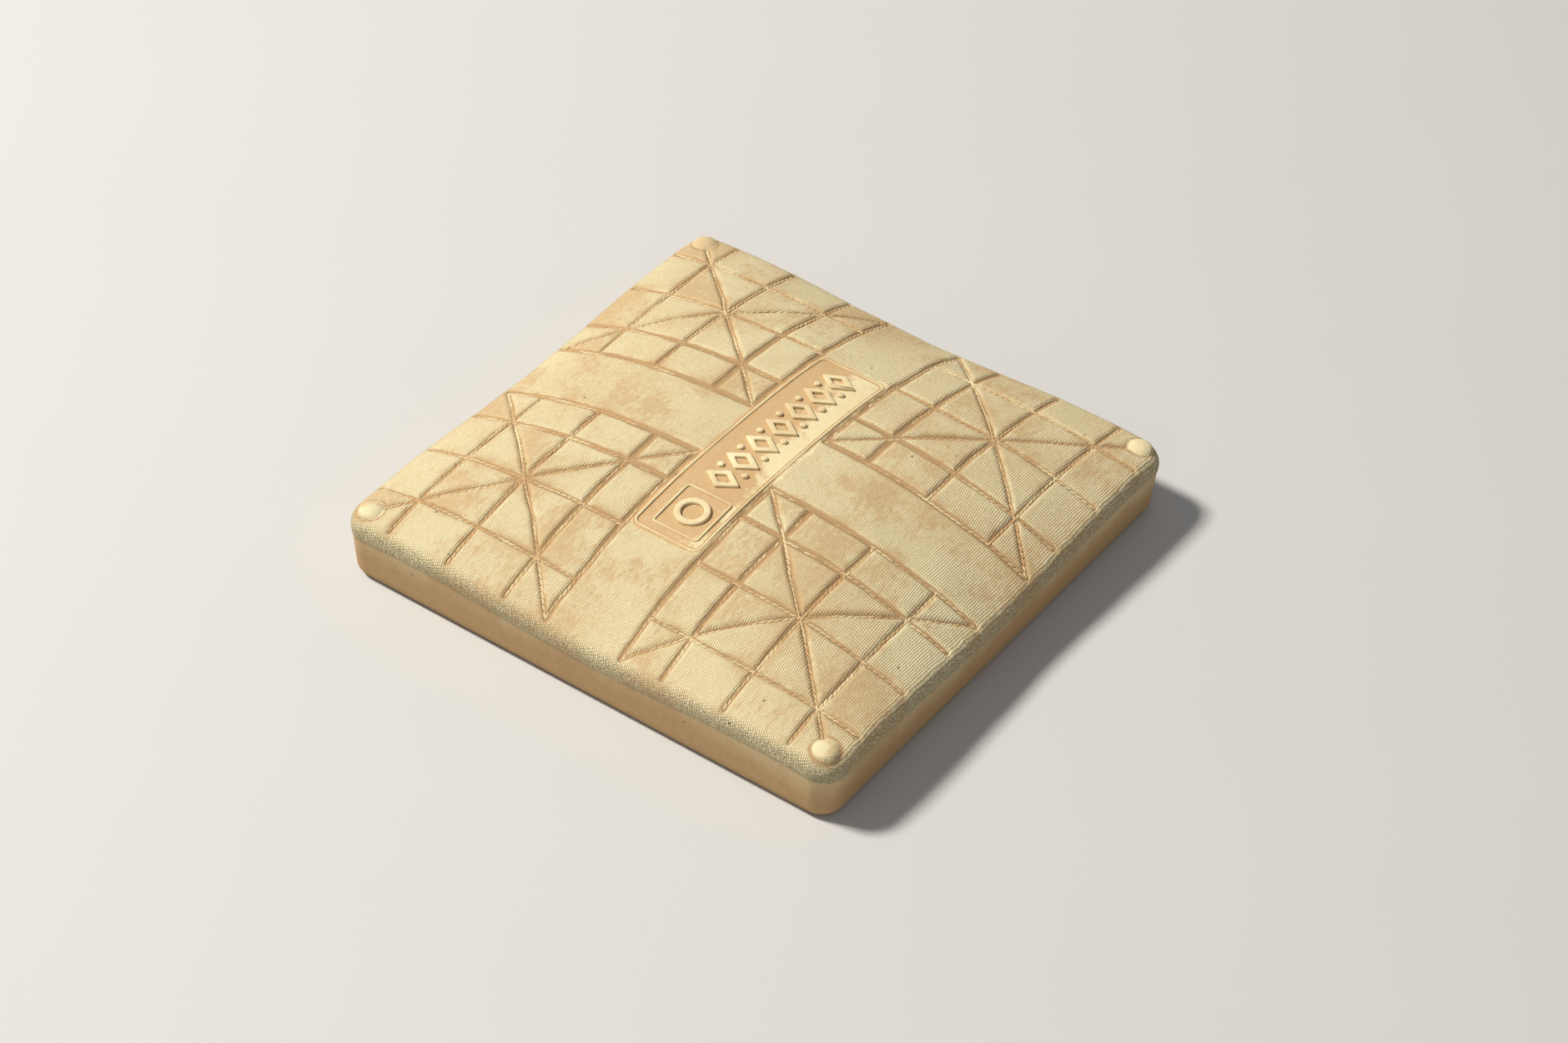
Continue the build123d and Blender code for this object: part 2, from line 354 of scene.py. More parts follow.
def crown_level(cover, x, y):
    """Height of the seams' level over (x, y), up to the edge seam."""
    along = np.abs(x / cover.seam_half) ** cover.crown_power
    across = np.abs(y / cover.seam_half) ** cover.crown_power
    fall = along + across - cover.diagonal_lift * (along * across) ** cover.diagonal_power
    return HEIGHT - cover.crown_allowance - cover.seam_fall * fall


def relief(cover, panel, x, y):
    """What stands over the seams' level: flat-topped blocks with a raised lip, grooves, the
    smooth panel, and unevenness. Gives back the height, and the marks for the material."""
    clear, inside, dusty, shadow_line = seam_state(cover, x, y)
    in_panel, away = panel_state(panel, x, y)
    lip = 1 + LIP_RISE * bell(clear, LIP_AT, LIP_WIDE)
    block = cover.pillow * (1 - np.exp(-clear / cover.pillow_reach)) * lip
    slack = 1 + 0.22 * waves(x, y, 0.05, 11.0)
    crease = CREASE_DEPTH * bell(np.maximum(np.abs(x), np.abs(y)), cover.seam_half, CREASE_WIDE)
    knit = block * slack - cover.groove_depth * inside - crease
    uneven = 0.25 * MM * waves(x, y, 0.12, 4.0) + 0.10 * MM * waves(x, y, 0.03, 6.0)
    sunk = PANEL_SUNK * (1 - smooth_step(-1.2 * MM, 0.0, away))
    level = cover.pillow * (1 - inside) - sunk
    rise = knit * (1 - in_panel) + level * in_panel + uneven
    near = np.exp(-clear / NEAR_REACH) * (1 - in_panel)
    # Dust gathers along both sides of the panel's border.
    rim = bell(away, -1.8 * MM, 1.0 * MM) + 0.7 * bell(away, 0.9 * MM, 0.8 * MM)
    marks = {
        "seam": np.maximum(dusty * (1 - 0.6 * in_panel), 0.7 * rim),
        "near": np.maximum(near, rim),
        "shadow_line": shadow_line * (1 - in_panel),
        "panel": in_panel,
    }
    return rise, marks


# ---- the cover's skin ---------------------------------------------------------------------


def edge_slope(cover):
    """Angle of the crown at the edge seam, below level."""
    return math.atan(cover.crown_power * cover.seam_fall / cover.seam_half)


def skin_reach(cover):
    """Half side of the flat pattern that covers the crown and the rolled edge."""
    return cover.seam_half + cover.roll_radius * (math.pi / 2 - edge_slope(cover))


# Rows below the rolled edge: in from the band, down from the roll's end, and share of knit.
BELOW_ROLL = ((0, 1.4, 1), (0.05, 2.9, 1), (0.15, 4.2, 1), (0.4, 5.1, 0.7))
WALL_IN, WALL_TOP, FOOT_IN = 0.7 * MM, -6.9 * MM, 2.4 * MM  # the bare wall below the band
WALL_STEPS, HEEL_STEPS = 6, 5
# Underneath: room outside the strips, then how far in from their outer side the recess and the
# turned-in lip end, and the rubber left outside the board.
STRIP_ROOM, RECESS_END, LIP_END, RUBBER_RIM = 1.5 * MM, 17 * MM, 25 * MM, 7.0 * MM
CEILING_STEPS = (0.97, 0.9, 0.78, 0.62, 0.44, 0.24, 0.06)  # shares of the hollow's half side
TINY = 1e-6


def wall_rows(cover):
    """Rows below the rolled edge: (outward from the edge seam, height, how much of the height
    is counted down from the roll's end, knit). The last rows run under the base and back up
    inside the rubber."""
    band = cover.roll_radius * (1 - math.sin(edge_slope(cover))) + cover.pillow
    wall, foot = band - WALL_IN, band - FOOT_IN
    rows = [(band - inward * MM, -down * MM, 1, knit) for inward, down, knit in BELOW_ROLL]
    rows += [(wall, WALL_TOP + 1 * MM, 1, 0), (wall - 0.1 * MM, WALL_TOP, 1, 0)]
    heel = cover.heel_radius
    for step in range(1, WALL_STEPS + 1):
        share = step / WALL_STEPS
        rows.append((wall + (foot - wall) * share, WALL_TOP + share * (heel - WALL_TOP), 1 - share, 0))
    for step in range(1, HEEL_STEPS + 1):
        turn = math.pi / 2 * step / HEEL_STEPS
        rows.append((foot - heel * (1 - math.cos(turn)), heel * (1 - math.sin(turn)), 0, 0))
    strip_side = STRIP_HIGH.x - cover.seam_half
    recess_far, recess_near = strip_side + STRIP_ROOM, strip_side - RECESS_END
    lip = strip_side - LIP_END
    strip_top = STRIP_HIGH.z + 0.05 * MM
    inner = HALF_SIDE - RUBBER_RIM - cover.seam_half
    rows += [
        (recess_far, 0.0, 0, 0),
        (recess_far, strip_top, 0, 0),
        (recess_near, strip_top, 0, 0),
        (recess_near, 0.0, 0, 0),
        (lip, 0.0, 0, 0),
        (lip, BOARD_LOW.z, 0, 0),
        (inner, BOARD_LOW.z, 0, 0),
        (inner, BOARD_HIGH.z, 0, 0),
    ]
    return rows


def ring_place(cover, s, t, ring, level):
    """Plan position of pattern point (s, t), whose ring lies at half side `ring` in the pattern
    and at half side `level` on the base, with the outline's corners rounded."""
    core = HALF_SIDE - cover.corner_radius

    def along(value):
        beyond = np.abs(value) - core
        stretched = core + beyond * (level - core) / np.maximum(ring - core, TINY)
        placed = np.where(beyond > 0, stretched, np.abs(value))
        return np.where(level > core, placed, np.abs(value) * level / np.maximum(ring, TINY))

    px, py = along(s), along(t)
    radius = np.maximum(level - core, TINY)
    u = np.clip((px - core) / radius, 0, 1)
    v = np.clip((py - core) / radius, 0, 1)
    corner = (u > 0) & (v > 0) & (level > core)
    x = np.where(corner, core + radius * u * np.sqrt(1 - v * v / 2), px)
    y = np.where(corner, core + radius * v * np.sqrt(1 - u * u / 2), py)
    return np.sign(s) * x, np.sign(t) * y


STUD_SUNK = 0.8 * MM  # the stud's foot below the crown


def skin(cover, panel, s, t, row):
    """Positions and surface marks of pattern points (s, t) in their rows."""
    edge, reach = cover.seam_half, skin_reach(cover)
    slope, roll = edge_slope(cover), cover.roll_radius
    ring = np.maximum(np.abs(s), np.abs(t))
    flat = np.where(ring > edge, edge / np.maximum(ring, TINY), 1.0)
    seam_s, seam_t = s * flat, t * flat
    base = crown_level(cover, np.clip(s, -edge, edge), np.clip(t, -edge, edge))
    rise, marks = relief(cover, panel, s, t)
    turn = slope + np.maximum(ring - edge, 0) / roll
    over = ring > edge
    level = np.where(over, edge + roll * (np.sin(turn) - math.sin(slope)), ring)
    lean = (np.sin(turn) - math.sin(slope)) / (1 - math.sin(slope))
    level = level + np.where(over, rise * lean, 0)
    drop = np.where(over, roll * (math.cos(slope) - np.cos(turn)), 0)
    z = base - drop + rise * np.where(over, np.cos(turn) / math.cos(slope), 1)
    x, y = ring_place(cover, s, t, ring, level)

    # Round stud on each corner, with a dusty foot.
    stud = np.hypot(np.abs(x) - cover.stud_place, np.abs(y) - cover.stud_place) / cover.stud_radius
    foot = crown_level(cover, cover.stud_place, cover.stud_place) - STUD_SUNK
    dome = foot + (cover.stud_height + STUD_SUNK) * np.sqrt(np.clip(1 - stud**2, 0, 1))
    over_stud = 1 - smooth_step(0.82, 1.0, stud)
    z = np.where(row == 0, np.maximum(z, z + (dome - z) * over_stud), z)
    ring_of_dust = bell(stud, 1.02, 0.14)
    marks["seam"] = np.maximum(marks["seam"] * (1 - over_stud), 0.4 * ring_of_dust)
    marks["near"] = np.maximum(marks["near"] * (1 - over_stud), ring_of_dust)
    marks["shadow_line"] = marks["shadow_line"] * (1 - over_stud)

    knit = np.where(row == 0, 1.0, 0.0)
    below = np.zeros(s.shape)
    roll_end = base - roll * math.cos(slope)
    rows = wall_rows(cover)
    for index, (out, height, from_roll, is_knit) in enumerate(rows, start=1):
        here = row == index
        at_x, at_y = ring_place(cover, s, t, np.full(s.shape, reach), np.full(s.shape, edge + out))
        x, y = np.where(here, at_x, x), np.where(here, at_y, y)
        z = np.where(here, roll_end * from_roll + height, z)
        knit = np.where(here, is_knit, knit)
        below = np.where(here & (from_roll == 1), -height, below)
    inner = HALF_SIDE - cover.wall_thickness - 0.2 * MM
    for index, share in enumerate(CEILING_STEPS, start=len(rows) + 1):
        here = row == index
        at_x, at_y = s / reach * inner * share, t / reach * inner * share
        ceiling = crown_level(cover, at_x, at_y) - cover.wall_thickness + cover.crown_allowance
        x, y = np.where(here, at_x, x), np.where(here, at_y, y)
        z = np.where(here, ceiling, z)
        knit = np.where(here, 0.0, knit)

    weave_s = np.sign(s) * (np.abs(s) + np.where(np.abs(s) > reach - MM, below, 0))
    weave_t = np.sign(t) * (np.abs(t) + np.where(np.abs(t) > reach - MM, below, 0))
    marks = {name: values * (row == 0) for name, values in marks.items()}
    marks["knit"] = knit * (1 - marks["panel"]) * (1 - 0.5 * over_stud * (row == 0))
    marks["edge"] = smooth_step(edge - 1 * MM, edge + 8 * MM, ring)
    turn_by, tone = block_character(cover, seam_s, seam_t)
    weave = np.stack(
        [
            weave_s * np.cos(turn_by) - weave_t * np.sin(turn_by),
            weave_s * np.sin(turn_by) + weave_t * np.cos(turn_by),
            np.zeros(s.shape),
        ],
        axis=1,
    )
    marks["tone"] = tone
    return np.stack([x, y, z], axis=1), weave, marks


def block_character(cover, s, t):
    """Each quilted block has its own slight turn of the weave and its own tone."""
    dx, dy = drift(cover, s, t)
    ax, ay = np.abs(s + dx), np.abs(t + dy)
    in_block = (ax > BAND_HALF) & (ay > BAND_HALF)
    turned = in_block & (np.maximum(ax, ay) < GRID_LINES[-1])
    column = sum((ax > line).astype(int) for line in GRID_LINES)
    row = sum((ay > line).astype(int) for line in GRID_LINES)
    split = (ax > ay).astype(int) + 2 * (ax + ay > BAND_HALF + cover.seam_half).astype(int)
    quarter = (s > 0).astype(int) + 2 * (t > 0).astype(int)
    number_of = 1 + column + 4 * row + 16 * split + 64 * quarter
    turn_by = np.where(turned, scatter(number_of) * math.radians(9), 0.0)
    return turn_by, np.where(in_block, 0.5 + 0.5 * scatter(number_of, 78.233, 12543.123), 0.55)


def seam_point(cover, x, y):
    """The seams' level over one point, without the pillowed blocks."""
    return float(crown_level(cover, np.array([x]), np.array([y]))[0])


def add_mark(mesh, name, values):
    """Stores one number per vertex."""
    mesh.attributes.new(name, "FLOAT", "POINT").data.foreach_set("value", values.astype(np.float32))


# ---- materials ----------------------------------------------------------------------------


class Shader:
    """Builds one node material. Its methods make a node and give back the output asked for."""

    def __init__(self, name):
        self.material = bpy.data.materials.new(name)
        self.material.use_nodes = True
        self.tree = self.material.node_tree
        self.tree.nodes.clear()
        self.surface = self.tree.nodes.new("ShaderNodeBsdfPrincipled")
        output = self.tree.nodes.new("ShaderNodeOutputMaterial")
        self.tree.links.new(self.surface.outputs["BSDF"], output.inputs["Surface"])

    def give(self, socket, value):
        """Links an output, or sets a plain value."""
        if isinstance(value, bpy.types.NodeSocket):
            self.tree.links.new(value, socket)
        elif value is not None:
            socket.default_value = value

    def node(self, kind, **values):
        """Adds a node. Keys are input names with spaces as underscores."""
        made = self.tree.nodes.new(kind)
        for key, value in values.items():
            self.give(made.inputs[key.replace("_", " ")], value)
        return made

    def math(self, operation, a, b=None, c=None, clamp=False):
        """One Math node."""
        made = self.tree.nodes.new("ShaderNodeMath")
        made.operation, made.use_clamp = operation, clamp
        for socket, value in zip(made.inputs, (a, b, c)):
            self.give(socket, value)
        return made.outputs[0]

    def times(self, a, b, clamp=False):
        """a times b."""
        return self.math("MULTIPLY", a, b, clamp=clamp)

    def line(self, value, gain, lift, clamp=False):
        """value times gain, plus lift."""
        return self.math("MULTIPLY_ADD", value, gain, lift, clamp)

    def rest(self, value, clamp=False):
        """What is left of 1."""
        return self.math("SUBTRACT", 1.0, value, clamp=clamp)

    def wave(self, value):
        """Rounded ridges, one for each whole step of the value."""
        return self.math("ABSOLUTE", self.math("SINE", self.times(value, math.pi)))

    def position(self, scale=(1, 1, 1)):
        """Object coordinates, scaled."""
        at = self.tree.nodes.new("ShaderNodeTexCoord").outputs["Object"]
        return self.node("ShaderNodeMapping", Vector=at, Scale=scale).outputs[0]

    def mark(self, name, kind="Fac"):
        """A vertex mark of the piece."""
        made = self.tree.nodes.new("ShaderNodeAttribute")
        made.attribute_name = name
        return made.outputs[kind]

    def noise(self, at, scale, detail=4.0, roughness=0.55):
        """Noise between 0 and 1, with features of about 1 / scale metres."""
        made = self.node("ShaderNodeTexNoise", Vector=at, Scale=scale, Detail=detail, Roughness=roughness)
        return made.outputs["Fac"]

    def ramp(self, value, low, high):
        """0 below low, 1 above high, smooth between."""
        made = self.node("ShaderNodeMapRange", Value=value, From_Min=low, From_Max=high)
        made.interpolation_type = "SMOOTHSTEP"
        return made.outputs[0]

    def mix(self, share, a, b):
        """Mixes two colours, each an output or a plain colour."""
        made = self.tree.nodes.new("ShaderNodeMix")
        made.data_type = "RGBA"
        self.give(made.inputs["Factor"], share)
        for socket, value in zip([i for i in made.inputs if i.type == "RGBA"], (a, b)):
            self.give(socket, value if isinstance(value, bpy.types.NodeSocket) else (*value, 1.0))
        return made.outputs[2]

    def bump(self, height, distance, normal=None):
        """A bump whose full height is `distance` metres."""
        made = self.node("ShaderNodeBump", Height=height, Distance=distance, Strength=1.0)
        if normal is not None:
            self.give(made.inputs["Normal"], normal)
        return made.outputs[0]

    def finish(self, base, roughness, normal=None, metallic=0.0):
        """Wires the shader and gives back the material."""
        self.give(self.surface.inputs["Base Color"], base)
        self.give(self.surface.inputs["Roughness"], roughness)
        self.give(self.surface.inputs["Metallic"], metallic)
        if normal is not None:
            self.give(self.surface.inputs["Normal"], normal)
        return self.material


def darker(tint, by):
    """A colour, `by` times as light."""
    return tuple(by * channel for channel in tint)


RIB_PITCH = 1.48 * MM
LOOP_PITCH = 1.30 * MM
LOOP_STAGGER = 0.37  # how far each rib's loops lie on from its neighbour's
# Noises on the rubber: features in a metre, detail, roughness.
BROAD_TONE = (11.0, 5.0, 0.6)
PATCHES = (20.0, 9.0, 0.7)
STREAKS = (330.0, 5.0, 0.7)
SPECKLE = (330.0, 4.0, 0.7)
FINE_GRAIN = (900.0, 3.0, 0.6)
# Heights of the bumps on the rubber.
RIB_TALL, LUMP_TALL, GRAIN_TALL = 0.52 * MM, 0.28 * MM, 0.10 * MM
# Strengths of what lies on the rubber and of the painted shade, 0 to 1.
PATCH_DUST, CREEPING_DUST, KNIT_DUST, LEAST_PANEL_DUST = 0.50, 0.85, 0.50, 0.16
SEAM_SHADE, PIT_SHADE, SHADOW_LINE_SHADE, SPECK_SHADE, WALL_MOTTLE = 0.45, 0.38, 0.75, 0.8, 0.20


def knit_height(shader, loose):
    """Height of the knit, 0 to 1: rounded ribs broken into loops, and a random tone for each
    loop. `loose` makes it pebbly."""
    weave = shader.mark("weave", "Vector")
    ruffle = shader.times(shader.noise(weave, 420.0, 2.0), loose)
    wander = shader.line(ruffle, 1.7, shader.noise(weave, 55.0, 2.0))
    split = shader.node("ShaderNodeSeparateXYZ", Vector=weave)
    along = shader.math("DIVIDE", split.outputs[0], LOOP_PITCH)
    across = shader.line(wander, 1.6, shader.math("DIVIDE", split.outputs[1], RIB_PITCH))
    rib_number = shader.math("FLOOR", across)
    loop_at = shader.math("ADD", along, shader.line(rib_number, LOOP_STAGGER, wander))
    rounded = shader.math("POWER", shader.wave(across), 0.8)
    gap = shader.math("SUBTRACT", shader.math("POWER", shader.wave(loop_at), 0.7), 1.0)
    broken = shader.line(gap, shader.line(loose, 0.25, 0.62), 1.0)
    cell = shader.node("ShaderNodeCombineXYZ", X=rib_number, Y=shader.math("FLOOR", loop_at))
    tone = shader.node("ShaderNodeTexWhiteNoise", Vector=cell.outputs[0]).outputs["Value"]
    return shader.times(shader.times(rounded, broken), shader.line(tone, 0.35, 0.65)), tone


def cover_rubber(colours):
    """Cream rubber with a knit surface, dust in seams and patches, and painted shade in the knit and at
    the blocks' feet.
    """
    shader = Shader("cover_rubber")
    at = shader.position()
    weave = shader.mark("weave", "Vector")
    names = ("knit", "seam", "near", "edge", "panel", "tone")
    knit, seam, near, edge, panel, tone = (shader.mark(name) for name in names)
    height, loop_tone = knit_height(shader, edge)
    valley = shader.rest(height)

    broad = shader.noise(at, *BROAD_TONE)
    patch = shader.noise(at, *PATCHES)
    streak_at = shader.node("ShaderNodeMapping", Vector=weave, Scale=(0.35, 1.0, 1.0)).outputs[0]
    streak = shader.noise(streak_at, *STREAKS)
    streak = shader.line(shader.math("SUBTRACT", streak, patch), knit, patch)
    speckle = shader.noise(at, *SPECKLE)
    base = shader.mix(shader.ramp(broad, 0.32, 0.66), colours.rubber, colours.rubber_worn)
    bright = shader.times(shader.ramp(shader.line(loop_tone, 0.25, streak), 0.50, 0.85), 0.6)
    base = shader.mix(bright, base, colours.rubber_clean)

    # Dust: fills the seams, creeps out beside them, and lies in streaks, patches and the knit's hollows.
    laid = shader.line(tone, 0.17, shader.line(streak, 0.34, shader.times(patch, 0.66)))
    patches = shader.times(shader.ramp(laid, 0.580, 0.675), PATCH_DUST)
    ragged = shader.line(speckle, 0.7, shader.line(patch, 0.5, seam))
    filled = shader.times(shader.ramp(ragged, 0.72, 1.15), shader.line(patch, 0.4, 0.75), clamp=True)
    creeping = shader.times(near, shader.times(shader.ramp(patch, 0.43, 0.57), CREEPING_DUST))
    in_knit = shader.times(shader.times(valley, knit), shader.line(streak, 1.3, 0.25))
    dust = shader.math("MAXIMUM", shader.math("MAXIMUM", patches, creeping), filled, clamp=True)
    dust = shader.math("ADD", dust, shader.times(in_knit, KNIT_DUST), clamp=True)
    base = shader.mix(dust, base, colours.dust)
    base = shader.mix(shader.times(filled, SEAM_SHADE), base, darker(colours.dust, 0.62))
    # Painted shade: the knit's deepest valleys are darkened with a dark dust colour.
    valley_shade = shader.times(shader.ramp(valley, 0.55, 1.0), knit)
    base = shader.mix(shader.times(valley_shade, PIT_SHADE), base, darker(colours.dust, 0.45))

    # A painted shadow line runs along the foot of a block here and there.
    here = shader.ramp(shader.noise(at, 120.0, 3.0, 0.6), 0.48, 0.62)
    shadow_line = shader.times(shader.mark("shadow_line"), here)
    base = shader.mix(shader.times(shadow_line, SHADOW_LINE_SHADE), base, colours.painted_shade)

    # The panel's back half, towards -X and +Y, holds dust, and the rest is rubbed clean.
    split = shader.node("ShaderNodeSeparateXYZ", Vector=at)
    lean = shader.line(split.outputs[1], 24.0, shader.times(split.outputs[0], -1.8))
    rubbed = shader.line(patch, 2.0, shader.line(speckle, 0.5, lean))
    on_panel = shader.times(shader.ramp(rubbed, 0.76, 1.08), shader.line(speckle, 0.5, 0.62))
    on_panel = shader.math("MAXIMUM", on_panel, LEAST_PANEL_DUST)
    base = shader.mix(shader.times(panel, on_panel, clamp=True), base, colours.dust)

    # Painted shade low in the knit, strongest on the rolled edge.
    knit_shade = shader.times(shader.ramp(valley, 0.25, 0.85), knit)
    base = shader.mix(shader.times(knit_shade, shader.line(edge, 0.62, 0.14), clamp=True), base, colours.painted_shade)

    # The bare side wall is darkened towards a dark dust brown, most near the ground: partly dust, partly
    # painted shade.
    low = shader.rest(shader.ramp(split.outputs[2], 4 * MM, 42 * MM))
    bare = shader.times(shader.rest(knit), edge)
    share = shader.line(low, 0.50, shader.line(patch, 0.60, 0.38), clamp=True)
    base = shader.mix(shader.times(bare, share), base, darker(colours.dust, 0.82))
    mottle = shader.times(shader.times(bare, shader.ramp(speckle, 0.45, 0.80)), WALL_MOTTLE)
    base = shader.mix(mottle, base, colours.rubber_worn)

    # A few small dark specks.
    specks = shader.node("ShaderNodeTexVoronoi", Vector=at, Scale=95.0)
    chosen = shader.node("ShaderNodeSeparateColor", Color=specks.outputs["Color"]).outputs[0]
    chosen = shader.math("GREATER_THAN", shader.line(near, 0.10, chosen), 0.95)
    dot = shader.rest(shader.ramp(specks.outputs["Distance"], 0.055, 0.105))
    base = shader.mix(shader.times(shader.times(dot, chosen), SPECK_SHADE), base, colours.speck)

    # Dust-filled places are smooth, so the knit fades there.
    smoothed = shader.rest(shader.times(shader.math("MAXIMUM", patches, filled), 0.8), clamp=True)
    share = shader.times(shader.times(knit, smoothed), shader.line(edge, 0.6, 0.8))
    ribs = shader.bump(shader.times(height, share), RIB_TALL)
    lumps = shader.bump(speckle, LUMP_TALL, ribs)
    grain = shader.bump(shader.noise(at, *FINE_GRAIN), GRAIN_TALL, lumps)
    rough = shader.line(dust, 0.12, shader.line(broad, 0.10, 0.72))
    shader.surface.inputs["Specular IOR Level"].default_value = 0.2
    return shader.finish(base, rough, grain)


def raised_rubber(colours, name, dusty):
    """The same rubber, smooth, for stitches and the raised border and ornament."""
    shader = Shader(name)
    at = shader.position()
    patch = shader.noise(at, 34.0, 5.0, 0.6)
    fine = shader.noise(at, 520.0, 4.0, 0.6)
    base = shader.mix(shader.ramp(patch, 0.35, 0.6), colours.rubber, colours.rubber_worn)
    dust = shader.times(shader.line(fine, 0.5, shader.ramp(patch, 0.35, 0.65)), dusty, clamp=True)
    base = shader.mix(dust, base, colours.dust)
    shader.surface.inputs["Specular IOR Level"].default_value = 0.3
    return shader.finish(base, shader.line(dust, 0.2, 0.64), shader.bump(fine, 0.12 * MM))


def foam_material(colours):
    """Open, slightly crumbly moulded foam, with painted shade in its pores."""
    shader = Shader("core_foam")
    at = shader.position()
    cells = shader.node("ShaderNodeTexVoronoi", Vector=at, Scale=620.0).outputs["Distance"]
    blotch = shader.noise(at, 30.0, 4.0)
    # Painted shade: the pores, where the bump dips, are darker.
    base = shader.mix(shader.ramp(cells, 0.1, 0.7), darker(colours.foam, 0.72), colours.foam)
    base = shader.mix(shader.times(blotch, 0.4), base, colours.rubber_worn)
    return shader.finish(base, 0.92, shader.bump(cells, 0.35 * MM))


PLY_PITCH = 2.4 * MM  # two plies


def plywood_material(colours):
    """Plywood: long grain on the faces, plies along the edge."""
    shader = Shader("board_plywood")
    grain = shader.noise(shader.position((5, 130, 60)), 1.6, 6.0, 0.6)
    rings = shader.noise(shader.position((2, 26, 26)), 1.0, 3.0, 0.5)
    split = shader.node("ShaderNodeSeparateXYZ", Vector=shader.position())
    plies = shader.math("SINE", shader.times(split.outputs[2], 2 * math.pi / PLY_PITCH))
    dark = darker(colours.plywood, 0.55)
    base = shader.mix(shader.ramp(grain, 0.35, 0.7), colours.plywood, dark)
    base = shader.mix(shader.times(shader.ramp(rings, 0.45, 0.6), 0.35), base, dark)
    base = shader.mix(shader.line(plies, 0.10, 0.10), base, dark)
    return shader.finish(base, shader.line(grain, 0.2, 0.62), shader.bump(grain, 0.2 * MM))


def metal_material(name, tint, spangle, rust, rust_colour, roughness):
    """Plated or galvanised steel: spangle or fine grain, with rust in patches."""
    shader = Shader(name)
    at = shader.position()
    grains = shader.node("ShaderNodeTexVoronoi", Vector=at, Scale=spangle)
    shade = shader.node("ShaderNodeSeparateColor", Color=grains.outputs["Color"]).outputs[0]
    fine = shader.noise(at, 700.0, 3.0)
    patch = shader.noise(at, 38.0, 6.0, 0.65)
    rusty = shader.ramp(patch, 0.72 - 0.42 * rust, 0.86 - 0.30 * rust)
    base = shader.mix(shade, darker(tint, 0.74), tint)
    base = shader.mix(rusty, base, shader.mix(fine, rust_colour, darker(rust_colour, 0.4)))
    rough = shader.line(rusty, 0.45, shader.line(shade, 0.14, roughness), clamp=True)
    metallic = shader.line(rusty, -0.85, 0.9, clamp=True)
    height = shader.line(rusty, fine, shader.times(shade, 0.15))
    return shader.finish(base, rough, shader.bump(height, 0.2 * MM), metallic)


def cap_material(colours):
    """Moulded black plastic, dusty."""
    shader = Shader("cap_plastic")
    at = shader.position()
    grain = shader.noise(at, 900.0, 3.0)
    dusty = shader.times(shader.ramp(shader.noise(at, 60.0, 5.0), 0.4, 0.75), 0.35)
    base = shader.mix(dusty, colours.cap, colours.dust)
    return shader.finish(base, shader.line(dusty, 0.4, 0.5), shader.bump(grain, 0.08 * MM))


def floor_material(stage):
    """Plain pale floor with the faintest unevenness."""
    shader = Shader("studio_floor")
    tint = stage.floor_colour
    base = shader.mix(shader.noise(shader.position(), 3.0, 3.0), tint, darker(tint, 0.97))
    return shader.finish(base, 0.9)


def dress(names, material):
    """Gives carried-over CAD nodes their finished material."""
    for name in names:
        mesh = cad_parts[name].data
        mesh.materials.clear()
        mesh.materials.append(material)


# ---- one operator for each piece or group of like pieces -----------------------------------


class BASE_OT_cover(bpy.types.Operator):
    """Make the quilted rubber cover as one closed skin"""

    bl_idname = "base.make_cover"
    bl_label = "Quilted cover"

    def execute(self, context):
        cover, panel = settings("base_cover"), settings("base_panel")
        reach = skin_reach(cover)
        cells = 2 * round(reach / cover.mesh_pitch)
        bm = bmesh.new()
        bmesh.ops.create_grid(bm, x_segments=cells, y_segments=cells, size=reach)
        rim = [edge for edge in bm.edges if edge.is_boundary]
        # Each further row is extruded in place and carries its number as its height.
        last = len(wall_rows(cover)) + len(CEILING_STEPS)
        for row in range(1, last + 1):
            made = bmesh.ops.extrude_edge_only(bm, edges=rim)["geom"]
            for vert in new_verts(made):
                vert.co.z = row
            rim = [item for item in made if isinstance(item, bmesh.types.BMEdge) and item.is_boundary]
        hub = list({vert for edge in rim for vert in edge.verts})
        bmesh.ops.pointmerge(bm, verts=hub, merge_co=(0, 0, last))

        s, t, row = np.array([vert.co[:] for vert in bm.verts]).T
        placed, weave, marks = skin(cover, panel, s, t, np.rint(row))
        for vert, at in zip(bm.verts, placed.tolist()):
            vert.co = at
        piece = finish_mesh(bm, "quilted_cover")
        stored = piece.data.attributes.new("weave", "FLOAT_VECTOR", "POINT")
        stored.data.foreach_set("vector", weave.astype(np.float32).ravel())
        for name, values in marks.items():
            add_mark(piece.data, name, values)
        place(piece, "base", cover_rubber(settings("base_colours")), ("cover",))
        return {"FINISHED"}


LOST_UNDER_DUST = 1.1  # how deeply buried a stitch is left out
STITCH_SUNK, BURIED_SUNK = 0.45 * MM, 0.55 * MM  # its middle below the seam, and more when buried
STITCH_ASIDE = 0.45  # how far it strays, in half widths of the seam


